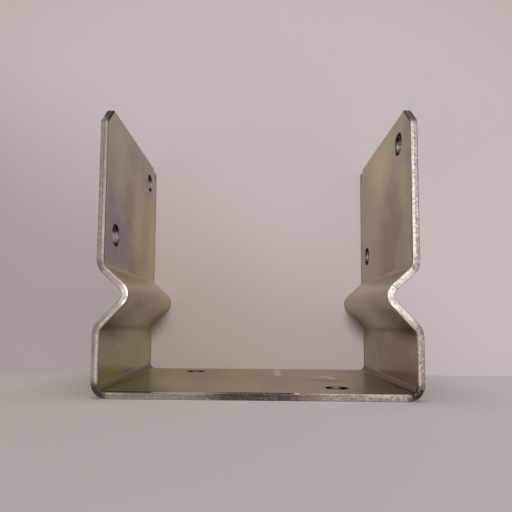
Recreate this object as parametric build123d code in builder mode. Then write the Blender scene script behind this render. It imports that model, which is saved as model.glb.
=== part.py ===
from build123d import *
import os

# Post anchor: one steel strap folded into a U that a square timber post stands in.
# Each leg has a V crimp pressed inwards across its full width, so that the post's
# foot is held clear of the base. Two bolt holes stand on a diagonal in each leg and
# in the base, and the whole part looks the same after half a turn about Z.
# Lengths are in millimetres. The origin is the middle of the base's underside,
# X runs from leg to leg, Y across the strap and Z up the legs.

# The strap
sheet = 3.0
strap_width = 88.5
bend_radius = 3.0

# The folded profile, as the inner face would be with sharp bends
post_gap = 121.0
lower_wall_step = 1.0
leg_height = 118.5
crimp_foot_height = 26.5
crimp_tip_height = 41.0
crimp_head_height = 52.5
crimp_depth = 12.6

# Clipped corners at the top of the legs
corner_clip = 7.5

# Bolt holes
hole_diameter = 9.0
low_hole_height = 66.5
low_hole_edge_distance = 14.0
high_hole_height = 107.0
high_hole_edge_distance = 15.5
base_hole_spacing = 66.5
base_hole_edge_distance = 15.0

# Places that follow from the sizes above
upper_wall = post_gap / 2
lower_wall = upper_wall + lower_wall_step
crimp_tip = upper_wall - crimp_depth
low_hole_row = strap_width / 2 - low_hole_edge_distance
high_hole_row = strap_width / 2 - high_hole_edge_distance
base_hole_row = strap_width / 2 - base_hole_edge_distance
outer_bend_radius = bend_radius + sheet

# Half of the inner face, from the middle of the base to the top of one leg.
# The crimp's tip bends the other way, so there this face is on the outside.
half_face = [
    (0, sheet),
    (lower_wall, sheet),
    (lower_wall, crimp_foot_height),
    (crimp_tip, crimp_tip_height),
    (upper_wall, crimp_head_height),
    (upper_wall, leg_height),
]
half_face_radii = [bend_radius, bend_radius, outer_bend_radius, bend_radius]

os.makedirs("parts", exist_ok=True)

with BuildPart() as anchor_strap:
    # The bent strip: the inner face's line, carried outwards by the sheet's thickness
    with BuildSketch(Plane.XZ) as folded_profile:
        with BuildLine() as inner_face:
            FilletPolyline(*half_face, radius=half_face_radii)
            mirror(about=Plane.YZ)
            offset(amount=sheet, side=Side.RIGHT)
        make_face()
    extrude(amount=strap_width / 2, both=True)

    # Corners cut off at the top of both legs
    top_corners = anchor_strap.edges().filter_by(Axis.X).group_by(Axis.Z)[-1]
    chamfer(top_corners, length=corner_clip)

    # Two holes in each leg: the leg's plane turns with it, so that one pair of
    # places serves both legs and keeps the half-turn symmetry
    for side in (-1, 1):
        leg = Plane(origin=(side * upper_wall, 0, 0), x_dir=(0, side, 0), z_dir=(side, 0, 0))
        with BuildSketch(leg) as leg_holes:
            with Locations((low_hole_row, low_hole_height), (-high_hole_row, high_hole_height)):
                Circle(hole_diameter / 2)
        extrude(amount=sheet, mode=Mode.SUBTRACT)

    # Two holes in the base
    with BuildSketch(Plane.XY) as base_holes:
        with Locations((base_hole_spacing / 2, -base_hole_row), (-base_hole_spacing / 2, base_hole_row)):
            Circle(hole_diameter / 2)
    extrude(amount=sheet, mode=Mode.SUBTRACT)

anchor_strap.part.label = "anchor_strap"
export_step(anchor_strap.part, "parts/anchor_strap.step")
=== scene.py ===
import math
from functools import partial

import bpy
import numpy as np
from bpy.props import FloatProperty, FloatVectorProperty, PointerProperty
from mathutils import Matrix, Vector


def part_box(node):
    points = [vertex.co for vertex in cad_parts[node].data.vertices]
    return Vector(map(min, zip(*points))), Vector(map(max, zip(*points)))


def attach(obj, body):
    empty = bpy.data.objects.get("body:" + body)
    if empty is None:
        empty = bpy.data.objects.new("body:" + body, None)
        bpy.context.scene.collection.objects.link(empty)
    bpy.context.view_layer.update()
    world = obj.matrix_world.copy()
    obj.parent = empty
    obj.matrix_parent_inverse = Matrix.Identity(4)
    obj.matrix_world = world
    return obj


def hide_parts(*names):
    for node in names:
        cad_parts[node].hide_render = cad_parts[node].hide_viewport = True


bl_info = {
    "name": "Folded Post Anchor",
    "version": (1, 0, 0),
    "blender": (4, 5, 0),
    "location": "View3D > Sidebar > Post Anchor",
    "description": "Builds a post anchor folded from one zinc-plated strap, and its stage",
    "category": "Object",
}

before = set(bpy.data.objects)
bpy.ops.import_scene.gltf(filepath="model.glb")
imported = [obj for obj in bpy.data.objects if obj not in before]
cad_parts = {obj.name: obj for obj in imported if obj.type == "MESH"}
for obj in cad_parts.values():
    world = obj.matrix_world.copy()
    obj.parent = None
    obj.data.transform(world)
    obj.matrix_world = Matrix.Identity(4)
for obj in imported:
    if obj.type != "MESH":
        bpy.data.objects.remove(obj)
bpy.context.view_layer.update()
strap_low, strap_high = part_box("anchor_strap")
MM = 0.001


def linear(hex_colour):
    """An sRGB hex colour as linear red, green, blue and alpha."""
    parts = [int(hex_colour[i:i + 2], 16) / 255 for i in (0, 2, 4)]
    return [c / 12.92 if c <= 0.04045 else ((c + 0.055) / 1.055) ** 2.4 for c in parts] + [1.0]


def coordinate(name, description, metres, **limits):
    """A coordinate property, in metres."""
    return FloatProperty(name=name, description=description, default=metres, precision=5,
                         subtype="DISTANCE", unit="LENGTH", **limits)


def length(name, description, millimetres):
    """A length property whose default is given in millimetres."""
    return coordinate(name, description, millimetres * MM, min=0.0)


def angle(name, description, degrees):
    """An angle property whose default is given in degrees."""
    return FloatProperty(name=name, description=description, default=math.radians(degrees),
                         subtype="ANGLE", unit="ROTATION")


def colour(name, description, hex_colour):
    """A colour property whose default is an sRGB hex value."""
    return FloatVectorProperty(name=name, description=description, default=linear(hex_colour),
                               size=4, min=0.0, max=1.0, subtype="COLOR")


class StrapSizes(bpy.types.PropertyGroup):
    """The folded strap. Lengths along the profile are those of its inner face with sharp bends."""
    sheet: length("Sheet", "Thickness of the steel", 3.0)
    bend_radius: length("Bend radius", "Inside radius of every bend", 3.0)
    strap_width: length("Strap width", "Width across the strap", (strap_high.y - strap_low.y) / MM)
    leg_height: length("Leg height", "Height of the legs above the ground", strap_high.z / MM)
    post_gap: length("Post gap", "Clear gap between the upper walls", 121.0)
    wall_step: length("Wall step", "How much further out the lower walls stand", 1.0)
    crimp_foot: length("Crimp foot", "Height where the crimp leaves the lower wall", 26.5)
    crimp_tip: length("Crimp tip", "Height of the crimp's tip", 41.0)
    crimp_head: length("Crimp head", "Height where the crimp meets the upper wall", 52.5)
    crimp_depth: length("Crimp depth", "How far the tip reaches in from the upper wall", 12.6)
    corner_clip: length("Corner clip", "Length cut off each top corner, both ways", 7.5)
    hole_diameter: length("Hole diameter", "Diameter of the bolt holes", 9.0)
    low_hole: length("Low hole", "Height of the lower hole in each leg", 66.5)
    low_hole_edge: length("Low hole edge distance", "From its centre to the long edge", 14.0)
    high_hole: length("High hole", "Height of the upper hole in each leg", 107.0)
    high_hole_edge: length("High hole edge distance", "From its centre to the long edge", 15.5)
    base_hole_spacing: length("Base hole spacing", "Distance along X between both holes", 66.5)
    base_hole_edge: length("Base hole edge distance", "From a centre to the long edge", 15.0)


class EdgeSizes(bpy.types.PropertyGroup):
    """The marks that shearing, punching and bending leave on the strap's cut edges."""
    rollover: length("Rollover", "How far the cut's entry side is drawn down", 0.4)
    burr_round: length("Burr round", "Rounding of the cut's exit side", 0.2)
    fracture: length("Fracture", "How far the torn half of the cut leans back", 0.07)
    waver: length("Waver", "How far a cut edge wanders from a straight line", 0.04)
    bend_bulge: length("Bend bulge", "How far an edge draws back on a bend's stretched side", 0.5)
    cell: length("Cell", "Spacing of the mesh on flat stretches", 1.15)


class FinishColours(bpy.types.PropertyGroup):
    """Colours of the steel and of the stage."""
    zinc: colour("Zinc", "Zinc plate under a clear passivation", "BFBAA5")
    grazed: colour("Grazed", "Share of the plate's shine that is left at a grazing look", "E5E0DB")
    rose: colour("Rose", "Rose-grey clouds in the passivation", "A4978A")
    violet: colour("Violet", "Violet-grey film where the passivation is thin", "9E99A8")
    tint: colour("Tint", "Yellow-green film where the passivation is thick", "CED0A0")
    # Fold film: olive film in the base's bends, laid on as painted shade there as well.
    fold_film_and_shade: colour("Fold film", "Olive film gathered in the base's bends", "827D66")
    # Pale thin film; on the upper flanks it is also a painted sheen.
    worn_film_and_sheen: colour("Worn film", "Film drawn thin and pale over the crimps", "EADDC0")
    scuff: colour("Scuff", "Dry pale rub marks", "E6DABC")
    # Dirt-and-shade colour: painted shade in bends, folds and inner corners, at the base's ends and low
    # on the walls and flanks; it also darkens the clips, the holes' ends, marks and the base's front
    # edge.
    dirt_and_shade: colour("Soil", "Brown rust and dirt in cuts and corners", "453833")
    shear: colour("Shear", "Burnished half of a cut edge", "DAD4CE")
    torn: colour("Torn", "Torn half of a cut edge", "B4ABA4")
    # Pit also paints the shade along a cut edge's borders.
    pit: colour("Pit", "Pits in a cut edge", "867C76")
    # Bright: painted highlights on the cut edge at the crimps and in the holes, and bare steel at chips
    # and the nick.
    bright: colour("Bright", "Cut edge rubbed bright at the crimps", "F2EEEA")
    # The papers' two colours are painted light: paler high up and to the right. The warm tint is painted
    # shade low between the legs.
    floor: colour("Floor", "Paper of the floor", "E4D9D5")
    pale_floor: colour("Pale floor", "Paper of the floor to the right", "F2ECEB")
    backdrop: colour("Backdrop", "Paper of the backdrop, high and to the right", "CDC2C2")
    low_backdrop: colour("Low backdrop", "Paper of the backdrop, low and to the left", "AFA5A4")
    warm_shade: colour("Warm cast", "Cast of the paper low between the legs", "FBF8EE")
    distance: colour("Distance", "What lies beyond the paper", "B5A9A2")
    daylight: colour("Daylight", "The bright side of the studio, in front", "B6AEAD")


class CameraPlace(bpy.types.PropertyGroup):
    """The camera, from a fit of the strap's edges."""
    x: coordinate("X", "Camera place across the legs", 0.00003)
    y: coordinate("Y", "Camera place in front of the strap", -0.22375)
    z: coordinate("Z", "Camera height", 0.03056)
    pitch: angle("Pitch", "Tilt upwards from level", 4.3603)
    roll: angle("Roll", "Roll about the view", -0.4113)
    turn: angle("Turn", "Turn to the left", 0.9369)
    lens: FloatProperty(name="Lens", description="Focal length in millimetres", default=32.412)
    shift_x: FloatProperty(name="Shift X", description="Sideways shift of the picture", default=0.0124)
    shift_y: FloatProperty(name="Shift Y", description="Upwards shift of the picture", default=0.0578)


def bend_table(sizes):
    """The right half of the strap's middle line, as straights and arcs in turn.

    Each corner of the sharp inner face moves outwards by half the sheet along its mitre, and is
    then rounded: an arc of radius R that turns by a takes R tan(a / 2) off both straights.
    Returns the pieces' start lengths, start points, start headings and curvatures, and the end.
    """
    upper = sizes.post_gap / 2
    lower = upper + sizes.wall_step
    inner_face = np.array([
        (0.0, sizes.sheet),
        (lower, sizes.sheet),
        (lower, sizes.crimp_foot),
        (upper - sizes.crimp_depth, sizes.crimp_tip),
        (upper, sizes.crimp_head),
        (upper, sizes.leg_height),
    ])
    run = np.diff(inner_face, axis=0)
    heading = np.arctan2(run[:, 1], run[:, 0])
    outwards = np.stack([np.sin(heading), -np.cos(heading)], axis=1)
    mitre = outwards[:-1] + outwards[1:]
    mitre /= 1 + np.sum(outwards[:-1] * outwards[1:], axis=1, keepdims=True)
    middle = inner_face + sizes.sheet / 2 * np.vstack([outwards[:1], mitre, outwards[-1:]])

    radius = sizes.bend_radius + sizes.sheet / 2
    turn = np.diff(heading)
    trim = np.tan(np.abs(turn) / 2) * radius
    along = np.stack([np.cos(heading), np.sin(heading)], axis=1)
    whole = np.linalg.norm(np.diff(middle, axis=0), axis=1)
    straight = whole - np.append(0.0, trim) - np.append(trim, 0.0)

    count = 2 * len(straight) - 1
    lengths, curvature = np.zeros(count), np.zeros(count)
    start_heading, start = np.zeros(count), np.zeros((count, 2))
    lengths[0::2], lengths[1::2] = straight, np.abs(turn) * radius
    curvature[1::2] = np.sign(turn) / radius
    start_heading[0::2], start_heading[1::2] = heading, heading[:-1]
    start[0::2] = middle[:-1] + along * np.append(0.0, trim)[:, None]
    start[1::2] = middle[1:-1] - along[:-1] * trim[:, None]
    start_length = np.append(0.0, np.cumsum(lengths))
    return start_length[:-1], start, start_heading, curvature, start_length[-1]


def fold(table, s, y, n):
    """Carries points of the flat blank onto the folded strap.

    s is the length along the middle line from the base's middle, negative to the left, and n the
    distance outwards from it. Within a piece of curvature k that starts at heading h, a length d
    moves the point by the chord d sinc(k d / 2) at heading h + k d / 2, and n is then laid off
    square to the heading h + k d. The left half is the right one mirrored.
    """
    start_length, start, start_heading, curvature, _ = table
    side = np.where(s < 0, -1.0, 1.0)
    piece = np.clip(np.searchsorted(start_length, np.abs(s), side="right") - 1, 0, None)
    d = np.abs(s) - start_length[piece]
    half_turn = curvature[piece] * d / 2
    chord = d * np.sinc(half_turn / np.pi)
    x = start[piece, 0] + chord * np.cos(start_heading[piece] + half_turn)
    z = start[piece, 1] + chord * np.sin(start_heading[piece] + half_turn)
    heading = start_heading[piece] + 2 * half_turn
    return np.stack([side * (x + n * np.sin(heading)), y, z - n * np.cos(heading)], axis=1)


def spaced(stops, cell):
    """Grid lines that pass through every stop and lie about a cell apart between them."""
    runs = []
    for low, high in zip(stops[:-1], stops[1:]):
        steps = max(1, round((high - low) / cell))
        runs.append(np.linspace(low, high, steps, endpoint=False))
    return np.concatenate(runs + [stops[-1:]])


def mirrored(half):
    """Grid lines from 0 outwards, repeated on the negative side."""
    return np.concatenate([-half[:0:-1], half])


HOLE_CELLS = 14  # cells along each side of the square that surrounds a hole
HOLE_GUARD = 1.3 * MM  # from a hole's rim to that square
EDGE_GUARD = 0.95 * MM  # from a cut edge to the nearest grid line
RING_STEPS = (0.0, 0.3, 0.55, 0.8)  # places of the rings on the way from hole to square
BEND_CELL = 0.55 * MM  # spacing of the mesh round the bends
TINY = 1e-9  # tolerance of comparisons
SAME_LINE = 9  # grid lines are one if they agree to this many decimals


def stops_with_holes(stops, centres, reach, cell):
    """Grid lines through the stops, with an even run of HOLE_CELLS cells across each hole."""
    edges = sorted(list(stops) + [c - reach for c in centres] + [c + reach for c in centres])
    lines = spaced(np.array(edges), cell)
    for c in centres:
        outside = lines[np.abs(lines - c) > reach - TINY]
        across = np.linspace(c - reach, c + reach, HOLE_CELLS + 1)[1:-1]
        lines = np.sort(np.concatenate([outside, across]))
    return lines


def hole_centres(sizes, end):
    """Where the six holes are punched in the blank: in the base, then low and high in the legs."""
    half_width = sizes.strap_width / 2
    top = end - sizes.leg_height
    base = (sizes.base_hole_spacing / 2, sizes.base_hole_edge - half_width)
    low = (top + sizes.low_hole, half_width - sizes.low_hole_edge)
    high = (top + sizes.high_hole, sizes.high_hole_edge - half_width)
    return [(side * s, side * y) for s, y in (base, low, high) for side in (1, -1)]


def flat_blank(sizes, edges, table):
    """The strap before it is folded: points (s, y) and four-cornered cells.

    A grid of lines along and across the strap. The lines along it sway to each hole's own
    distance from the edge, and near the top of the legs the outer ones lean inwards with the
    clipped corners. Round each hole the grid is left out of a square, and rings blend from the
    square's outline to the hole's circle: circle + f (square - circle).
    """
    end = table[4]
    start_length = np.append(table[0], end)
    radius = sizes.hole_diameter / 2
    reach = radius + HOLE_GUARD
    half_width = sizes.strap_width / 2
    clip_start = end - sizes.corner_clip
    holes = hole_centres(sizes, end)

    bends = [spaced(start_length[k:k + 2], BEND_CELL) for k in range(1, len(start_length) - 1, 2)]
    flats = stops_with_holes([*start_length[:-1], clip_start, end - EDGE_GUARD, end],
                             [abs(s) for s, _ in holes[::2]], reach, edges.cell)
    on_bend = np.zeros(len(flats), bool)
    for bend in bends:
        on_bend |= (flats > bend[0]) & (flats < bend[-1])
    s_half = np.unique(np.round(np.concatenate([flats[~on_bend], *bends]), SAME_LINE))
    row = half_width - sizes.base_hole_edge
    guard = half_width - EDGE_GUARD
    y_half = stops_with_holes([0.0, guard, half_width], [row], reach, edges.cell)
    s_lines, y_lines = mirrored(s_half), mirrored(y_half)

    s, y = np.meshgrid(s_lines, y_lines, indexing="ij")
    along, distance = np.abs(s), np.abs(y)
    knots, shifts = [], []
    for hole_s, hole_y in holes[::2]:
        knots += [hole_s - reach, hole_s + reach]
        shifts += [abs(hole_y) - row] * 2
    sway = np.interp(distance, [0, row - reach, row + reach, guard], [0, 1, 1, 0])
    distance = distance + np.interp(along, knots, shifts) * sway
    clipped = np.clip(along - clip_start, 0, None)
    limit = half_width - clipped
    lean_guard = EDGE_GUARD * np.where(clipped > 0, math.sqrt(2), 1.0)
    held = np.interp(along, [knots[-1], end], [row + reach, row / 2])
    squeezed = held + (distance - held) * (limit - lean_guard - held) / (guard - held)
    rim = limit - (half_width - distance) * lean_guard / EDGE_GUARD
    outer = np.where(distance <= guard + TINY, squeezed, rim)
    y = np.sign(y) * np.where(distance <= held, distance, outer)

    ids = np.arange(s.size).reshape(s.shape)
    points = [np.stack([s.ravel(), y.ravel()], axis=1)]
    keep = np.ones((len(s_lines) - 1, len(y_lines) - 1), bool)
    cells = []
    made = s.size
    for hole_s, hole_y in holes:
        i = int(np.argmin(np.abs(s_lines - (hole_s - reach))))
        j = int(np.argmin(np.abs(y_lines - (math.copysign(row, hole_y) - reach))))
        m = HOLE_CELLS
        keep[i:i + m, j:j + m] = False
        square = np.concatenate([
            ids[i:i + m, j], ids[i + m, j:j + m], ids[i + m:i:-1, j + m], ids[i, j + m:j:-1],
        ])
        outline = points[0][square]
        centre = np.array([hole_s, hole_y])
        arm = outline - centre
        circle = centre + arm / np.linalg.norm(arm, axis=1, keepdims=True) * radius
        loops = []
        for share in RING_STEPS:
            points.append(circle + share * (outline - circle))
            loops.append(np.arange(made, made + len(square)))
            made += len(square)
        loops.append(square)
        for inner, outer in zip(loops[:-1], loops[1:]):
            cells.append(np.stack([outer, np.roll(outer, -1), np.roll(inner, -1), inner], axis=1))
    grid = np.stack([ids[:-1, :-1], ids[1:, :-1], ids[1:, 1:], ids[:-1, 1:]], axis=-1)
    cells = np.concatenate([grid[keep], *cells])
    used, cells = np.unique(cells, return_inverse=True)
    return np.concatenate(points)[used], cells.reshape(-1, 4)


def cut_edges(points, cells):
    """The blank's border: its directed edges, its points, and the outward mitre at each point.

    An edge is on the border if no cell runs along it the other way. The mitre at a point is the
    sum of its two edges' normals over one plus their product.
    """
    start = cells.ravel()
    end = np.roll(cells, -1, axis=1).ravel()
    count = len(points)
    forward = start * count + end
    border = ~np.isin(forward, end * count + start)
    start, end = start[border], end[border]
    run = points[end] - points[start]
    normal = np.stack([run[:, 1], -run[:, 0]], axis=1) / np.linalg.norm(run, axis=1, keepdims=True)
    rim = np.unique(start)
    leaving, arriving = np.zeros((count, 2)), np.zeros((count, 2))
    leaving[start], arriving[end] = normal, normal
    leaving, arriving = leaving[rim], arriving[rim]
    mitre = (leaving + arriving) / (1 + np.sum(leaving * arriving, axis=1, keepdims=True))
    return start, end, rim, mitre


WAVES = 5  # sines in a wandering wave
WAVE_LENGTHS = (3.0, 19.0)  # the shortest and the longest of them, in millimetres
WAVE_SLANT = 1.3  # how much faster they run across the strap than along it


def wander(s, y, seed):
    """A smooth irregular wave from -1 to 1: the mean of sines of unrelated lengths and phases."""
    rng = np.random.default_rng(seed)
    total = np.zeros(len(s))
    for _ in range(WAVES):
        wave_length = rng.uniform(*WAVE_LENGTHS) * MM
        phase = rng.uniform(0, 2 * np.pi)
        total += np.sin(2 * np.pi * (s + WAVE_SLANT * y) / wave_length + phase)
    return total / WAVES


def eased(value, low, high):
    """Rises smoothly from 0 at low to 1 at high: 3 t² - 2 t³, with t the share of the way."""
    t = np.clip((value - low) / (high - low), 0, 1)
    return t * t * (3 - 2 * t)


def within(value, low, high, fade):
    """1 from low to high, falling smoothly to 0 over the fade on either side."""
    return eased(value, low - fade, low) * (1 - eased(value, high, high + fade))


BASE_BEND, FOOT_BEND, TIP_BEND, HEAD_BEND = BENDS = (1, 3, 5, 7)  # their places in the table


def near_bend(table, bend, along, fade):
    """1 on a bend, fading to 0 over a length that is centred on each of its ends."""
    return within(along, table[0][bend] + fade, table[0][bend + 1] - fade, 2 * fade)


# Shares of the sheet's thickness, from the cut's entry side: where the rollover ends, where the
# burnished half gives way to the torn one, and where the round of the exit side begins.
ROLL_SHARE, TORN_SHARE, EXIT_SHARE = 0.12, 0.45, 0.93
ROLL_VARIES, TORN_VARIES = 0.25, 0.07  # by how much the first two vary along the edge
TORN_POWER = 0.6  # how soon the torn half leans back
LEAN_POWER = 0.5  # how a bend's lean grows with its share of 90 degrees
LEAN_FADE = 2.0 * MM  # over which the lean fades past a bend
ROLL_SEED, TORN_SEED, WAVER_SEED = 3, 5, 7
EDGE_LEVELS = np.array([
    0, 0.01, 0.04, 0.08, ROLL_SHARE, 0.2, 0.3, 0.4, 0.5, 0.62, 0.74, 0.85, EXIT_SHARE, 0.98, 1.0,
])


def edge_profile(sizes, edges, table, rim_points):
    """How far each level of a cut edge lies inside the blank's outline, one row per border point.

    From the entry side: a quarter ellipse where the shear drew the face down, a flush burnished
    band, and a torn band that leans back, with a small round at the exit. Across a bend the edge
    leans too, back towards the stretched side, by a smooth hump that fades out past the bend.
    """
    s, y = rim_points[:, 0], rim_points[:, 1]
    level = EDGE_LEVELS[None, :]
    roll = edges.rollover * (1 + ROLL_VARIES * wander(s, y, ROLL_SEED))[:, None]
    drawn = 1 - np.clip(level / ROLL_SHARE, 0, 1)
    inset = roll * (1 - np.sqrt(np.clip(1 - drawn ** 2, 0, 1)))
    torn_at = (TORN_SHARE + TORN_VARIES * wander(s, y, TORN_SEED))[:, None]
    torn = np.clip((level - torn_at) / (1 - torn_at), 0, 1)
    inset = inset + edges.fracture * torn ** TORN_POWER
    exit_side = np.clip((level - EXIT_SHARE) / (1 - EXIT_SHARE), 0, 1)
    inset = inset + edges.burr_round * (1 - np.sqrt(np.clip(1 - exit_side ** 2, 0, 1)))
    inset = inset + edges.waver * (1 + wander(s, y, WAVER_SEED))[:, None] / 2

    lean = np.zeros(len(s))
    for bend in BENDS:
        turned = abs(table[3][bend]) * (table[0][bend + 1] - table[0][bend])
        share = np.sign(table[3][bend]) * min(1, turned / (np.pi / 2)) ** LEAN_POWER
        lean += share * near_bend(table, bend, np.abs(s), LEAN_FADE)
    on_long_edge = (np.abs(y) > sizes.strap_width / 2 - TINY).astype(float)
    stretched = np.where(lean[:, None] > 0, level, 1 - level)
    return inset + edges.bend_bulge * np.abs(lean * on_long_edge)[:, None] * stretched


# Soft stains on the inner face of each part of the strap, in millimetres: the centre's place along
# it (down from a leg's top, or along X on the base) and across it, both half sizes, how much of
# the rose, violet and yellow-green film each brings, and how far it leaves the film thin and pale.
LEFT_STAINS = (
    (34, -38, 13, 8, 0.3, 0.6, 0, 0),
    (55, -36, 15, 12, 0.3, 1.1, 0, 0),
    (50, -19, 14, 9, 0.2, 0.6, 0, 0),
    (38, -11, 30, 8, 0.9, 0, 0, 0),
    (14, -22, 14, 10, 0, 0, 0.2, 0),
    (7, 0, 7, 12, 0.1, 0.8, 0, 0),
    (40, 6, 28, 8, 0, 0, 0.45, 0),
    (48, 40, 28, 10, 0, 0, 1.2, 0.6),
    (14, 26, 10, 14, 0.8, 0.2, 0, 0),
    (61, 0, 8, 10, 0.5, 0.6, 0, 0),
    (74, 30, 10, 20, 0, 0, 0, 0.95),
    (93, -28, 9, 14, 0.9, 0, 0, 0),
    (113, 38, 14, 12, 0, 0, 1, 0),
    (112, -22, 12, 12, 0.5, 0, 0.3, 0),
)
RIGHT_STAINS = (
    (12, 2, 14, 18, 0, 0, 0.4, 0.6),
    (36, -10, 14, 10, 1, 0, 0, 0),
    (45, -23, 15, 9, 1.2, 0.15, 0, 0),
    (58, -10, 12, 11, 1, 0.3, 0, 0),
    (64, -39, 10, 8, 0, 1.4, 0, 0.2),
    (18, -41, 18, 4, 0.3, 0.9, 0, 0),
    (34, -34, 10, 7, 0, 0, 0.2, 0.15),
    (26, 16, 9, 10, 0.4, 0, 0.5, 0),
    (93, -28, 9, 14, 1, 0, 0, 0),
    (112, 0, 16, 40, 1.1, 0, 0, 0),
)
BASE_STAINS = (
    (-12, 28, 9, 14, 0, 0, 1, 0),
    (-8, -28, 9, 12, 0, 0, 1.3, 0.1),
    (27, 13, 9, 14, 0, 0, 0.8, 0),
    (-29, -24, 8, 16, 0, 0.7, 0, 0.65),
    (19, -26, 9, 12, 0, 0.6, 0, 0.6),
    (-41, -10, 9, 40, 0, 0, 0, 0.65),
    (-24, 20, 7, 24, 0.6, 0.2, 0, 0),
    (10, -5, 7, 16, 0.6, 0, 0, 0),
    (-55, 0, 12, 60, 0, 0, 1.2, 0),
    (38, 22, 13, 20, 0.2, 0, 0, 0.6),
    (54, 0, 10, 60, 0.4, 0, 0, 0.15),
)

# Rub marks on the base's upper face, in millimetres: both ends, half width, scuff and darkening.
# The last mark's darkening is a painted shadow below the pale mark before it.
MARKS = (
    (11, 14, 11, 40, 1.5, 1.0, 0.0),
    (-6, 18, 36, -10, 0.7, 0.0, 0.4),
    (33, 11, 37, 3, 2.4, 1.0, 0.0),
    (27, -3, 36, -6, 2.0, 0.0, 0.45),
)


def stains(table, s, y, n):
    """Rose, violet, yellow-green and thinned film at each point of the inner face.

    Each stain adds its amounts times exp(-(along / l)² - (across / w)²).
    """
    total = np.zeros((len(s), 4))
    for side, rows in ((-1, LEFT_STAINS), (1, RIGHT_STAINS), (0, BASE_STAINS)):
        for along, across, half_length, half_width, *amounts in rows:
            centre = side * (table[4] - along * MM) if side else along * MM
            lengths_off = (s - centre) / (half_length * MM)
            widths_off = (y - across * MM) / (half_width * MM)
            total += np.exp(-lengths_off ** 2 - widths_off ** 2)[:, None] * amounts
    return np.clip(total, 0, 1) * (n < 0)[:, None]


def rubs(s, y, n):
    """Scuff and darkening of the marks, the last a painted shadow: 1 on a mark's line, falling to 0 over
    twice its half width.
    """
    scuff, dirt_and_shade = np.zeros(len(s)), np.zeros(len(s))
    place = np.stack([s, y], axis=1)
    for x0, y0, x1, y1, half_width, pale, dark in MARKS:
        start = np.array([x0, y0]) * MM
        run = np.array([x1, y1]) * MM - start
        share = np.clip((place - start) @ run / (run @ run), 0, 1)
        away = np.linalg.norm(place - start - share[:, None] * run, axis=1)
        mark = 1 - eased(away, 0.0, 2 * half_width * MM)
        scuff = np.maximum(scuff, pale * mark)
        dirt_and_shade = np.maximum(dirt_and_shade, dark * mark)
    return scuff * (n < 0), dirt_and_shade * (n < 0)


FILM_FROM, FILM_TO, FILM_FADE = -0.4 * MM, 1.2 * MM, 2.8 * MM  # round a base bend's middle, where the olive film and painted shade lie
ROUGH_FADE = 2.5 * MM  # past a crimp's end bends


def bend_marks(table, s, n, on_cut):
    """Two marks on the inner face's bends, from 0 to 1, and a zero to fill the vector.

    The olive film and painted shade in the base's bends are 1 in a bend's middle and gone past its
    ends. The plate is roughened on the bends at either end of a crimp.
    """
    along, inner_face = np.abs(s), (1 - on_cut) * (n < 0)
    middle = (table[0][BASE_BEND] + table[0][BASE_BEND + 1]) / 2
    film = within(along, middle + FILM_FROM, middle + FILM_TO, FILM_FADE)
    rough = sum(near_bend(table, bend, along, ROUGH_FADE) for bend in (FOOT_BEND, HEAD_BEND))
    return np.stack([film, np.clip(rough, 0, 1), np.zeros(len(s))], axis=1) * inner_face[:, None]


# How dark the dirt-and-shade colour lies, from 0 to 1: on the strap's left half and on its right half.
# At the bends, folds, base ends, low walls and flanks it is painted shade; on the clipped corners and
# the middle of the base's front edge it only darkens.
CLIP_DARK = (1.0, 0.8)  # on the clipped corners
FRONT_BEND_SHADE = (0.9, 1.0)  # on the front edge at the base's bends
LOW_EDGE_SHADE = (0.0, 0.1)  # on the front edge of the lower walls
BASE_END_SHADE = (0.13, 0.0)  # on the base near its bends
FOLD_SHADE = (0.0, 0.4)  # in the base's bends
LOW_WALL_SHADE = (0.0, 0.06)  # on the lower walls
FLANK_SHADE = (0.42, 0.72)  # on the crimps' lower flanks, to the front
FLANK_REACH = (8 * MM, 12 * MM)  # how far up the flanks
# The same on both halves.
BACK_BEND_SHADE = 0.5  # on the back edge at the base's bends
CRIMP_END_SHADE = 0.35  # on the cut edges at the crimps' foot and head
MIDDLE_DARK = 0.75  # on the middle of the base's front edge
FOOT_FOLD_SHADE = 0.25  # in the crimps' foot bends

# Stretches of the cut edges, in millimetres along the strap from its middle, with how strong each
# is: where painted shade darkens the front edge's inner corner, and painted highlights the long edges.
SHADED_CORNERS = ((-59, -41, 0.95), (-10, 15, 0.95), (-200, -66, 0.45), (66, 200, 0.2))
GLINT_STRETCHES = ((-116, -98, 0.35), (-95, -69, 0.7), (-106, -102, 0.55), (92, 119, 0.9))
NICK = 15.5 * MM  # place along X of the bright nick in the base's front edge

CHIPPED = 0.7  # how bright the left clips are where they are chipped
CRIMP_THIN_AND_SHEEN = (0.52, 0.38)  # how pale the upper flanks are, left and right: thin film and a painted sheen
BASE_THINNED = 0.38  # and on the middle of the base
DARK_HOLE, LIGHT_HOLE = (0.55, 0.0), (0.15, 0.3)  # darkening, and painted highlight, on the middle of a hole's wall


def by_side(s, amounts):
    """The first amount on the strap's left half and the second on its right half."""
    return np.where(s < 0, *amounts)


def inner_corner(sizes, n):
    """1 at the inner corner of a cut edge, falling to 0 within a fifth of the sheet."""
    return 1 - eased(n, -0.42 * sizes.sheet, -0.3 * sizes.sheet)


def clip_wear(sizes, table, s, y, n, on_cut):
    """Darkening on the clipped corners' cuts, and bright steel where the left ones are chipped."""
    across, half_width = np.abs(y), sizes.strap_width / 2
    off_line = (table[4] - np.abs(s)) + (half_width - across) - sizes.corner_clip
    clip = on_cut * (np.abs(off_line) < 0.7 * MM) * (across < half_width - 0.3 * MM)
    at_tip = eased(across, half_width - 4 * MM, half_width - 2 * MM)
    chipped = (s < 0) * at_tip * eased(n, -0.5 * MM, 0.8 * MM)
    return clip * by_side(s, CLIP_DARK) * (1 - chipped), CHIPPED * clip * chipped


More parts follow.
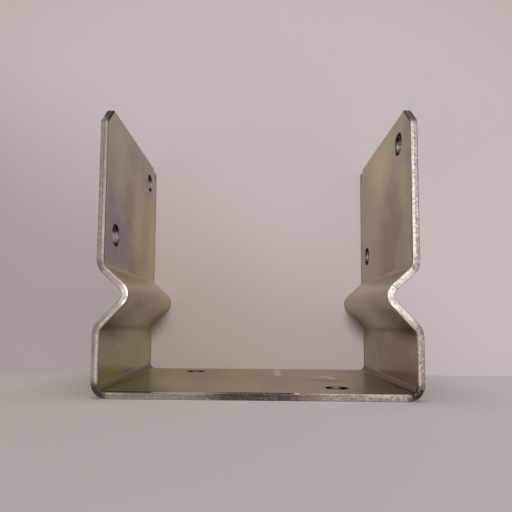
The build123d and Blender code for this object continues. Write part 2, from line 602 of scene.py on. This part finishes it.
def hole_tones(sizes, table, s, y, on_cut):
    """Darkening and painted highlights on the punched walls: dark at a hole's two ends along the strap.
    """
    dirt_and_shade, brightened = np.zeros(len(s)), np.zeros(len(s))
    for hole_s, hole_y in hole_centres(sizes, table[4]):
        arm = np.stack([s - hole_s, y - hole_y], axis=1)
        away = np.linalg.norm(arm, axis=1)
        punched = on_cut * (away < 0.6 * sizes.hole_diameter)
        at_end = eased(np.abs(arm[:, 0]) / np.maximum(away, TINY), 0.3, 0.65)
        in_left_leg = hole_s < -table[0][BASE_BEND]
        dark, bright = LIGHT_HOLE if in_left_leg else DARK_HOLE
        dirt_and_shade = np.maximum(dirt_and_shade, punched * (at_end + (1 - at_end) * dark))
        brightened = np.maximum(brightened, punched * (1 - at_end) * bright)
    return dirt_and_shade, brightened


def edge_darkening(sizes, table, s, y, n, on_cut):
    """Painted shade on the cut edges at the bends, corners and lower front edges, and a darker middle of
    the base's front edge.
    """
    along, front = np.abs(s), on_cut * (y < 0)
    wall_start, foot = table[0][BASE_BEND + 1], table[0][FOOT_BEND]
    at_bend = np.where(y < 0, by_side(s, FRONT_BEND_SHADE), BACK_BEND_SHADE)
    patches = [
        on_cut * near_bend(table, BASE_BEND, along, 1.8 * MM) * at_bend,
        front * within(along, wall_start, foot, 2 * MM) * by_side(s, LOW_EDGE_SHADE),
        front * (1 - eased(along, 10 * MM, 26 * MM)) * MIDDLE_DARK,
    ]
    for bend in (FOOT_BEND, HEAD_BEND):
        patches.append(on_cut * near_bend(table, bend, along, 1.0 * MM) * CRIMP_END_SHADE)
    for low, high, dark in SHADED_CORNERS:
        patch = front * inner_corner(sizes, n) * within(s, low * MM, high * MM, 1.5 * MM)
        patches.append(patch * dark)
    return np.max(patches, axis=0)


def face_shade(table, s, y, n, on_cut):
    """Painted shade on the inner face: at the base's ends, in folds, and low on the walls and flanks."""
    along = np.abs(s)
    base_end, wall_start, foot = table[0][BASE_BEND], table[0][BASE_BEND + 1], table[0][FOOT_BEND]
    flank = within(along, foot, foot + by_side(s, FLANK_REACH), 5 * MM) * eased(-y, 0, 35 * MM)
    patches = np.max([
        within(along, 50 * MM, base_end, 12 * MM) * by_side(s, BASE_END_SHADE),
        bend_marks(table, s, n, on_cut)[:, 0] * by_side(s, FOLD_SHADE),
        within(along, wall_start, foot + 8 * MM, 4 * MM) * by_side(s, LOW_WALL_SHADE),
        flank * by_side(s, FLANK_SHADE),
        near_bend(table, FOOT_BEND, along, 1.5 * MM) * FOOT_FOLD_SHADE,
    ], axis=0)
    return patches * (1 - on_cut) * (n < 0)


def wear_and_shading(sizes, table, s, y, n, on_cut, paled):
    """Darkening, scuff and brightening at each point, from 0 to 1, each the largest of its patches.
    The darkening is mostly painted shade, and on the edges the brightening mostly painted highlight.

    On the faces the last one is pale thin film: in the stains, on the upper flanks, where it is also
    a painted sheen, and on the middle of the base.
    """
    along, across, half_width = np.abs(s), np.abs(y), sizes.strap_width / 2
    scuff, rub_dark = rubs(s, y, n)
    clip_dark, chipped = clip_wear(sizes, table, s, y, n, on_cut)
    hole_dark, hole_highlight = hole_tones(sizes, table, s, y, on_cut)
    at_nick = 1 - eased(np.abs(s - NICK), 0.5 * MM, 1.6 * MM)
    nick = on_cut * (y < 0) * inner_corner(sizes, n) * at_nick
    brightened = [chipped, hole_highlight, nick]
    for low, high, share in GLINT_STRETCHES:
        stretch = within(s, low * MM, high * MM, 5.0 * MM)
        brightened.append(on_cut * (across > half_width - MM) * stretch * share)

    on_flank = within(along, table[0][TIP_BEND + 1], table[0][HEAD_BEND], 4 * MM)
    on_middle = within(along, 0, 46 * MM, 12 * MM)
    paled_places = np.maximum(on_flank * by_side(s, CRIMP_THIN_AND_SHEEN), on_middle * BASE_THINNED)
    thin_film = (1 - on_cut) * (n < 0) * np.maximum(paled_places, paled)

    dirt_and_shade = np.max([rub_dark, clip_dark, hole_dark, edge_darkening(sizes, table, s, y, n, on_cut),
                   face_shade(table, s, y, n, on_cut)], axis=0) - nick
    return np.stack([np.clip(dirt_and_shade, 0, 1), scuff, np.max([*brightened, thin_film], axis=0)], axis=1)


def strap_mesh(sizes, edges):
    """The whole strap as one closed mesh, with its place on the blank, its stains and marks, and its
    painted light and shade in attributes.

    The blank is laid twice, as the inner and the outer face, and rows of points join them along
    every cut edge and hole. All points are then folded at once.
    """
    table = bend_table(sizes)
    points, cells = flat_blank(sizes, edges, table)
    start, end, rim, mitre = cut_edges(points, cells)
    inset = edge_profile(sizes, edges, table, points[rim])
    half = sizes.sheet / 2
    count, levels = len(points), len(EDGE_LEVELS)

    inner, outer = points.copy(), points.copy()
    inner[rim] -= mitre * inset[:, :1]
    outer[rim] -= mitre * inset[:, -1:]
    between = points[rim][None] - mitre[None] * inset.T[1:-1, :, None]
    s, y = np.concatenate([inner, outer, between.reshape(-1, 2)]).T
    n = np.concatenate([
        np.full(count, -half), np.full(count, half),
        np.repeat(-half + sizes.sheet * EDGE_LEVELS[1:-1], len(rim)),
    ])
    place = np.full(count, -1)
    place[rim] = np.arange(len(rim))
    on_cut = np.concatenate([place >= 0, place >= 0, np.full(len(n) - 2 * count, True)]) * 1.0

    # The border points' numbers, one row for each level of the edge.
    added = 2 * count + np.arange((levels - 2) * len(rim)).reshape(levels - 2, len(rim))
    rows = np.vstack([rim, added, rim + count])
    start, end = place[start], place[end]
    strips = [
        np.stack([above[end], above[start], below[start], below[end]], axis=1)
        for above, below in zip(rows[:-1], rows[1:])
    ]
    faces = np.concatenate([cells, cells[:, ::-1] + count, *strips])
    cut_from = int(np.searchsorted(EDGE_LEVELS, ROLL_SHARE))
    finish = np.zeros(len(faces), int)
    finish[2 * len(cells) + cut_from * len(start):] = 1

    mesh = bpy.data.meshes.new("anchor_strap")
    mesh.from_pydata(fold(table, s, y, n).tolist(), [], faces.tolist())
    spread = stains(table, s, y, n)
    attributes = {
        "blank": np.stack([s, y, n], axis=1),
        "films": spread[:, :3],
        "bends": bend_marks(table, s, n, on_cut),
        "wear_and_shading": wear_and_shading(sizes, table, s, y, n, on_cut, spread[:, 3]),
    }
    for name, values in attributes.items():
        made = mesh.attributes.new(name, "FLOAT_VECTOR", "POINT")
        made.data.foreach_set("vector", values.ravel())
    mesh.polygons.foreach_set("material_index", finish)
    mesh.polygons.foreach_set("use_smooth", np.ones(len(faces), bool))
    mesh.update()
    return mesh


def add_node(tree, kind, inputs=(), **settings):
    """Adds a node, sets its properties, and fills its inputs with values, sockets or nodes.

    The inputs are given in their order, or else by number or name in a dict. A node among them
    stands for the first of its outputs that is in use.
    """
    made = tree.nodes.new("ShaderNode" + kind)
    for name, value in settings.items():
        setattr(made, name, value)
    for name, value in inputs.items() if isinstance(inputs, dict) else enumerate(inputs):
        if isinstance(value, bpy.types.Node):
            value = next(socket for socket in value.outputs if socket.enabled)
        if isinstance(value, bpy.types.NodeSocket):
            tree.links.new(value, made.inputs[name])
        else:
            made.inputs[name].default_value = value
    return made


def new_material(name):
    """A material with an empty node tree, and add_node bound to that tree."""
    made = bpy.data.materials.new(name)
    made.use_nodes = True
    made.node_tree.nodes.clear()
    return made, partial(add_node, made.node_tree)


def per_metre(millimetres):
    """The noise scale that gives features about this large."""
    return 1000.0 / millimetres


def zinc_plate(colours):
    """Zinc-plated steel strap, electroplated and passivated.

    Gives the eye a dull khaki-grey metal with mottled clouds of rose, violet and yellow-green
    film, drawn out across the strap, faint lines from rolling, and a fine grain that spreads its
    reflections. The lines and the grain are really under 0.1 mm, and are drawn as coarse as they
    need to show.
    """
    made, node = new_material("zinc_plated_steel")
    blank = node("Attribute", attribute_name="blank").outputs["Vector"]
    marks = []
    for name in ("films", "bends", "wear_and_shading"):
        attribute = node("Attribute", attribute_name=name).outputs["Vector"]
        marks += node("SeparateXYZ", (attribute,)).outputs
    rose, violet, green, folded, roughened, _, darkened, scuffed, paled = marks

    # Each film: its share, its colour, its clouds' place in the noise and size along the strap in
    # millimetres, and the noise's range in which the faint clouds elsewhere rise.
    mixed = colours.zinc
    for share, film_colour, place, millimetres, low, high in (
            (rose, colours.rose, 0.0, 24.0, 0.48, 0.66),
            (violet, colours.violet, 0.31, 31.0, 0.54, 0.68),
            (green, colours.tint, 0.73, 27.0, 0.5, 0.68)):
        stretched = node("Mapping", {"Vector": blank, "Location": (place, place, 0.0),
                                     "Scale": (1.0, 0.5, 1.0)})
        cloud = node("TexNoise", {"Vector": stretched, "Scale": per_metre(millimetres),
                                  "Detail": 4.0, "Roughness": 0.72, "Distortion": 0.6})
        faint = node("MapRange", (cloud, low, high, 0.0, 0.3))
        broken = node("MapRange", (cloud, 0.4, 0.58, 0.4, 1.35))
        placed = node("Math", (share, broken), operation="MULTIPLY")
        amount = node("Math", (faint, placed), operation="ADD", use_clamp=True)
        mixed = node("Mix", {0: amount, 6: mixed, 7: film_colour}, data_type="RGBA")
    patch = node("TexNoise", {"Vector": blank, "Scale": per_metre(3.0), "Detail": 1.0, "Roughness": 0.5})
    ragged = node("MapRange", (patch, 0.38, 0.55, 0.35, 1.0))
    dry = node("Math", (scuffed, ragged), operation="MULTIPLY")
    # Laid over in turn: pale thin film, also a painted sheen on the upper flanks; olive film with
    # painted shade in the base's bends; dry scuffs; and the dirt-and-shade colour, mostly painted shade.
    for share, laid_over in ((paled, colours.worn_film_and_sheen), (folded, colours.fold_film_and_shade),
                             (dry, colours.scuff), (darkened, colours.dirt_and_shade)):
        mixed = node("Mix", {0: share, 6: mixed, 7: laid_over}, data_type="RGBA")

    lines_at = node("Mapping", {"Vector": blank, "Scale": (0.02, 1.0, 1.0)})
    lines = node("TexNoise", {"Vector": lines_at, "Scale": per_metre(0.9),
                              "Detail": 4.0, "Roughness": 0.7})
    grain = node("TexNoise", {"Vector": blank, "Scale": per_metre(0.7), "Detail": 3.0, "Roughness": 0.7})
    rough = node("MapRange", (grain, 0.3, 0.7, 0.16, 0.26))
    lengthwise = node("SeparateXYZ", (blank,)).outputs["X"]
    from_middle = node("Math", (lengthwise,), operation="ABSOLUTE")
    trodden = node("MapRange", (from_middle, 55 * MM, 66 * MM, 0.1, 0.0))
    rough = node("Math", (rough, trodden), operation="ADD")
    for mark, added in ((dry, 0.3), (roughened, 0.25)):
        rough = node("Math", (mark, added, rough), operation="MULTIPLY_ADD")
    height = node("Math", (lines, grain), operation="ADD")
    bump = node("Bump", {"Strength": 0.25, "Distance": 0.02 * MM, "Height": height})
    bare = node("MapRange", (dry, 0.0, 1.0, 1.0, 0.35))
    shader = node("BsdfPrincipled", {"Base Color": mixed, "Metallic": bare,
                                     "Roughness": rough, "Normal": bump,
                                     "Specular Tint": colours.grazed})
    node("OutputMaterial", {"Surface": shader})
    return made


LEFT_LEG, RIGHT_LEG = -50 * MM, 50 * MM  # the seam is clearest at the left leg; its pits and glints grow to the right as painted light


def sheared_edge(colours):
    """Cut edge of the strap, sheared and punched, with a thin veil of zinc.

    Gives the eye a bright burnished band beside a duller torn one, with a thin dark seam between
    them that is clearest to the left, both with fine lines along the cut and broken by pits and
    painted glints, so that the edge glitters where the faces do not. Painted shade darkens its
    borders, bends and inner corners, it is darker at the clipped corners, the holes' ends and the
    middle of the base's front edge, and painted highlights brighten the crimps' edges and the holes'
    walls. The lines are drawn coarser than they are, to show.
    """
    made, node = new_material("sheared_steel_edge")
    blank = node("Attribute", attribute_name="blank").outputs["Vector"]
    worn_and_shaded = node("Attribute", attribute_name="wear_and_shading").outputs["Vector"]
    lengthwise, _, through = node("SeparateXYZ", (blank,)).outputs
    darkened, _, brightened = node("SeparateXYZ", (worn_and_shaded,)).outputs
    torn = node("MapRange", (through, -0.3 * MM, 0.2 * MM))
    speck = node("TexNoise", {"Vector": blank, "Scale": per_metre(1.3), "Detail": 3.0, "Roughness": 0.6})
    lines_at = node("Mapping", {"Vector": blank, "Scale": (0.04, 0.04, 1.0)})
    lines = node("TexNoise", {"Vector": lines_at, "Scale": per_metre(1.1),
                              "Detail": 3.0, "Roughness": 0.6})
    pitted = node("MapRange", (speck, 0.5, 0.36, 0.0, 0.85))
    # Pits and glints grow towards the right leg: painted light, as the right edge catches more light.
    coarser = node("MapRange", (lengthwise, LEFT_LEG, RIGHT_LEG, 0.45, 0.9))
    pitted = node("Math", (pitted, coarser), operation="MULTIPLY")
    scored = node("MapRange", (lines, 0.5, 0.35, 0.0, 0.75))
    off_middle = node("Math", (through,), operation="ABSOLUTE")
    # Painted shade along the edge's borders, where the rounded corners mirror dark.
    border = node("MapRange", (off_middle, 1.0 * MM, 1.4 * MM, 0.0, 0.6))
    from_seam = node("Math", (through, 0.1 * MM), operation="ADD")
    off_seam = node("Math", (from_seam,), operation="ABSOLUTE")
    seam = node("MapRange", (off_seam, 0.08 * MM, 0.3 * MM, 0.8, 0.0))
    finer = node("MapRange", (lengthwise, LEFT_LEG, RIGHT_LEG, 1.0, 0.1))
    kept = node("Math", (finer, brightened), operation="SUBTRACT", use_clamp=True)
    seam = node("Math", (seam, kept), operation="MULTIPLY")
    marred_and_shaded = pitted
    for mark in (scored, seam, border):
        marred_and_shaded = node("Math", (marred_and_shaded, mark), operation="MAXIMUM")
    glint = node("MapRange", (speck, 0.54, 0.7, 0.0, 0.8))
    glint = node("Math", (glint, coarser), operation="MULTIPLY")
    flecked = node("MapRange", (speck, 0.62, 0.5, 0.75, 1.0))
    darkened = node("Math", (darkened, flecked), operation="MULTIPLY")
    mixed = colours.shear
    # Laid over in turn: torn steel, painted highlights and chipped steel, pits and painted border shade,
    # painted glints, and the dirt-and-shade colour.
    for share, laid_over in ((torn, colours.torn), (brightened, colours.bright), (marred_and_shaded, colours.pit),
                             (glint, colours.bright), (darkened, colours.dirt_and_shade)):
        mixed = node("Mix", {0: share, 6: mixed, 7: laid_over}, data_type="RGBA")

    rough = node("MapRange", (torn, 0.0, 1.0, 0.28, 0.38))
    height = node("Math", (lines, speck), operation="ADD")
    bump = node("Bump", {"Strength": 0.5, "Distance": 0.08 * MM, "Height": height})
    shader = node("BsdfPrincipled", {"Base Color": mixed, "Metallic": 1.0,
                                     "Roughness": rough, "Normal": bump})
    node("OutputMaterial", {"Surface": shader})
    return made


PALER_WAY = Vector((0.6, 0.0, 1.0))  # the way in which the paper grows paler, as a painted fall-off of the light
PALER_FROM, PALER_TO = -40 * MM, 130 * MM  # places that way
CAST_WHOLE, CAST_GONE = 50 * MM, 72 * MM  # from the middle, either way: where the painted warm shade is whole and gone
CAST_HALF, CAST_FULL = 45 * MM, -20 * MM  # along X
NEAR_RAY = 3.0 * MM  # reflections that start nearer than this pass through


def matt_paper(name, low_colour, high_colour, painted_tint, whole_to, gone_from, see_through_back=False):
    """Matt coated paper: a plain pale sheet with no gloss.

    It gives the eye an even ground that takes soft shadows. Painted light makes it a little paler
    high up and to the right, and painted shade makes it warmer and darker low between the strap's
    legs. Past its whole radius it fades out, so that no border shows. A backdrop's back lets the
    view through, and its front does so to reflections in the cut edges right before it.
    """
    made, node = new_material(name)
    place = node("TexCoord").outputs["Object"]
    rise = node("VectorMath", (place, PALER_WAY), operation="DOT_PRODUCT")
    risen = rise.outputs["Value"]
    paler = node("MapRange", (risen, PALER_FROM, PALER_TO), interpolation_type="SMOOTHSTEP")
    tone = node("Mix", {0: paler, 6: low_colour, 7: high_colour}, data_type="RGBA")
    across = node("SeparateXYZ", (place,)).outputs["X"]
    aside = node("Math", (across,), operation="ABSOLUTE")
    # Painted warm shade low between the legs, stronger to the left.
    between = node("MapRange", (aside, CAST_WHOLE, CAST_GONE, 1.0, 0.0))
    low_down = node("Math", (1.0, paler), operation="SUBTRACT")
    warm_shaded = node("Math", (between, low_down), operation="MULTIPLY")
    leftwards = node("MapRange", (across, CAST_HALF, CAST_FULL, 0.5, 1.0))
    warm_shaded = node("Math", (warm_shaded, leftwards), operation="MULTIPLY")
    tone = node("Mix", {0: warm_shaded, 6: tone, 7: painted_tint}, data_type="RGBA", blend_type="MULTIPLY")
    radius = node("VectorMath", (place,), operation="LENGTH").outputs["Value"]
    gone = node("MapRange", (radius, whole_to, gone_from), interpolation_type="SMOOTHSTEP")
    if see_through_back:
        back = node("NewGeometry").outputs["Backfacing"]
        travelled = node("LightPath").outputs["Ray Length"]
        near = node("Math", (travelled, NEAR_RAY), operation="LESS_THAN")
        for clear_to in (back, near):
            gone = node("Math", (gone, clear_to), operation="MAXIMUM")
    paper = node("BsdfDiffuse", {"Color": tone})
    clear = node("BsdfTransparent")
    faded = node("MixShader", (gone, paper, clear))
    node("OutputMaterial", {"Surface": faded})
    return made


def plain_sheet(name, corners, material):
    """A flat four-cornered sheet that belongs to the stage."""
    mesh = bpy.data.meshes.new(name)
    mesh.from_pydata(corners, [], [(0, 1, 2, 3)])
    mesh.materials.append(material)
    made = bpy.data.objects.new(name, mesh)
    bpy.context.scene.collection.objects.link(made)
    return made


AIM = Vector((0.0, 0.0, 0.06))  # the strap's middle, which every lamp faces

# Each lamp: its direction from the strap, its distance and size in metres, its power in watts,
# and whether the metal mirrors it.
LAMPS = {
    "key": ((0.003, -0.98, 0.08), 1.3, 0.12, 10.2, False),
    "top": ((0.0, -0.06, 1.0), 1.2, 0.8, 6.0, False),
    "right_box": ((0.36, -0.9, 0.24), 1.0, 0.36, 0.4, True),
    "front_box": ((0.0, -0.98, 0.14), 1.0, 0.2, 0.5, True),
}


def soft_box(name, towards, distance, size, power, mirrored_in_metal):
    """A square white area lamp at a distance from the strap's middle, facing it."""
    data = bpy.data.lights.new(name, "AREA")
    data.size = size
    data.energy = power
    made = bpy.data.objects.new(name, data)
    way = Vector(towards).normalized()
    made.location = AIM + way * distance
    made.rotation_euler = way.to_track_quat("Z", "Y").to_euler()
    made.visible_camera = False
    made.visible_glossy = mirrored_in_metal
    bpy.context.scene.collection.objects.link(made)


DARK_PLACE = Vector((-0.03, -0.98, -0.17))  # direction of what the base's front edge mirrors
ROOM_STRENGTH = 0.9  # of the dim room at the sides
FILL_STRENGTH = 0.14  # of the room as light on matt things


def studio_world(seen, front_tone):
    """The room round the stage, and plain paper to the camera.

    Its strength for reflections: a dim room, paper towards +Y that is brighter above than below
    and dark overhead, and towards -Y a bright studio, brighter to the right, with a dark place
    low in its middle.
    """
    world = bpy.data.worlds.new("studio")
    world.use_nodes = True
    world.node_tree.nodes.clear()
    node = partial(add_node, world.node_tree)
    way = node("TexCoord").outputs["Generated"]
    towards = node("SeparateXYZ", (way,)).outputs
    from_dark = node("VectorMath", (way, DARK_PLACE), operation="DISTANCE")
    rising, overhead, rightwards, off_dark, behind, in_front = (
        node("MapRange", ramp, interpolation_type="SMOOTHSTEP") for ramp in (
            (towards["Z"], -0.25, 0.4, 0.52, 1.2),
            (towards["Z"], 0.42, 0.65, 1.0, 0.6),
            (towards["X"], -0.25, 0.4, 1.35, 1.75),
            (from_dark.outputs["Value"], 0.12, 0.3, 0.1, 1.0),
            (towards["Y"], 0.35, 0.8, 0.0, 1.0),
            (towards["Y"], -0.5, -0.8, 0.0, 1.0)))
    paper = node("Math", (rising, overhead), operation="MULTIPLY")
    front = node("Math", (rightwards, off_dark), operation="MULTIPLY")
    tone = node("Mix", {0: behind, 6: front_tone, 7: seen}, data_type="RGBA")
    path = node("LightPath").outputs
    strength = ROOM_STRENGTH
    for share, instead in ((in_front, front), (behind, paper),
                           (path["Is Diffuse Ray"], FILL_STRENGTH), (path["Is Camera Ray"], 1.0)):
        strength = node("Mix", {0: share, 2: strength, 3: instead})
    light = node("Background", {"Color": tone, "Strength": strength})
    node("OutputWorld", {"Surface": light})
    return world


class POSTANCHOR_OT_build_strap(bpy.types.Operator):
    """Build the folded strap with its holes, cut edges and zinc finish"""
    bl_idname = "post_anchor.build_strap"
    bl_label = "Build Strap"

    def execute(self, context):
        settings = context.scene.post_anchor
        mesh = strap_mesh(settings.strap, settings.edges)
        mesh.materials.append(zinc_plate(settings.colours))
        mesh.materials.append(sheared_edge(settings.colours))
        strap = bpy.data.objects.new("folded_strap", mesh)
        context.scene.collection.objects.link(strap)
        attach(strap, "root")
        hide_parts("anchor_strap")
        if mesh.validate():
            raise RuntimeError("the strap's mesh has broken faces")
        return {"FINISHED"}


SHEET_REACH = 3.0  # from the middle to the stage's borders, in metres
BACKDROP_GAP = 1.0 * MM  # from the strap's back edge to the backdrop
FLOOR_FADE = (0.35, 0.9)  # radii in metres between which the floor fades out
BACKDROP_FADE = (0.22, 0.34)  # and the backdrop
SENSOR_WIDTH = 36.0  # in millimetres
NEAREST_SEEN = 0.01  # in metres from the camera


class POSTANCHOR_OT_set_stage(bpy.types.Operator):
    """Set the floor, the backdrop, the lamps and the camera"""
    bl_idname = "post_anchor.set_stage"
    bl_label = "Set Stage"

    def execute(self, context):
        scene = context.scene
        settings = scene.post_anchor
        colours = settings.colours
        r = SHEET_REACH
        behind = settings.strap.strap_width / 2 + BACKDROP_GAP
        floor_paper = matt_paper("floor_paper", colours.floor, colours.pale_floor, linear("FFFFFF"),
                                 *FLOOR_FADE)
        floor = plain_sheet("floor", [(-r, -r, 0), (r, -r, 0), (r, r, 0), (-r, r, 0)], floor_paper)
        floor.visible_glossy = False
        wall_paper = matt_paper("backdrop_paper", colours.low_backdrop, colours.backdrop,
                                colours.warm_shade, *BACKDROP_FADE, see_through_back=True)
        wall = plain_sheet("backdrop", [(-r, behind, 0), (r, behind, 0), (r, behind, r),
                                        (-r, behind, r)], wall_paper)
        for ray in ("diffuse", "transmission", "volume_scatter", "shadow"):
            setattr(wall, "visible_" + ray, False)

        scene.world = studio_world(colours.distance, colours.daylight)
        for name, lamp in LAMPS.items():
            soft_box(name, *lamp)

        place = settings.camera
        data = bpy.data.cameras.new("camera")
        data.lens = place.lens
        data.sensor_width = SENSOR_WIDTH
        data.shift_x = place.shift_x
        data.shift_y = place.shift_y
        data.clip_start = NEAREST_SEEN
        camera = bpy.data.objects.new("camera", data)
        camera.location = (place.x, place.y, place.z)
        camera.rotation_euler = (math.radians(90) + place.pitch, place.roll, place.turn)
        scene.collection.objects.link(camera)
        scene.camera = camera
        scene.view_settings.view_transform = "Standard"
        return {"FINISHED"}


class PostAnchorSettings(bpy.types.PropertyGroup):
    """Everything that a user can change."""
    strap: PointerProperty(type=StrapSizes)
    edges: PointerProperty(type=EdgeSizes)
    colours: PointerProperty(type=FinishColours)
    camera: PointerProperty(type=CameraPlace)


class POSTANCHOR_PT_panel(bpy.types.Panel):
    """Sizes, colours and build buttons"""
    bl_idname = "POSTANCHOR_PT_panel"
    bl_label = "Post Anchor"
    bl_space_type = "VIEW_3D"
    bl_region_type = "UI"
    bl_category = "Post Anchor"

    def draw(self, context):
        settings = context.scene.post_anchor
        for group in (settings.strap, settings.edges, settings.colours, settings.camera):
            box = self.layout.box()
            for name in group.__annotations__:
                box.prop(group, name)
        self.layout.operator(POSTANCHOR_OT_build_strap.bl_idname)
        self.layout.operator(POSTANCHOR_OT_set_stage.bl_idname)


CLASSES = (StrapSizes, EdgeSizes, FinishColours, CameraPlace, PostAnchorSettings,
           POSTANCHOR_OT_build_strap, POSTANCHOR_OT_set_stage, POSTANCHOR_PT_panel)


def register():
    """Registers the classes and hangs the settings on the scene."""
    for entry in CLASSES:
        bpy.utils.register_class(entry)
    bpy.types.Scene.post_anchor = PointerProperty(type=PostAnchorSettings)


def unregister():
    """Takes the settings and the classes away again."""
    del bpy.types.Scene.post_anchor
    for entry in reversed(CLASSES):
        bpy.utils.unregister_class(entry)


def main():
    register()
    bpy.ops.post_anchor.build_strap()
    bpy.ops.post_anchor.set_stage()


if __name__ == "__main__":
    main()
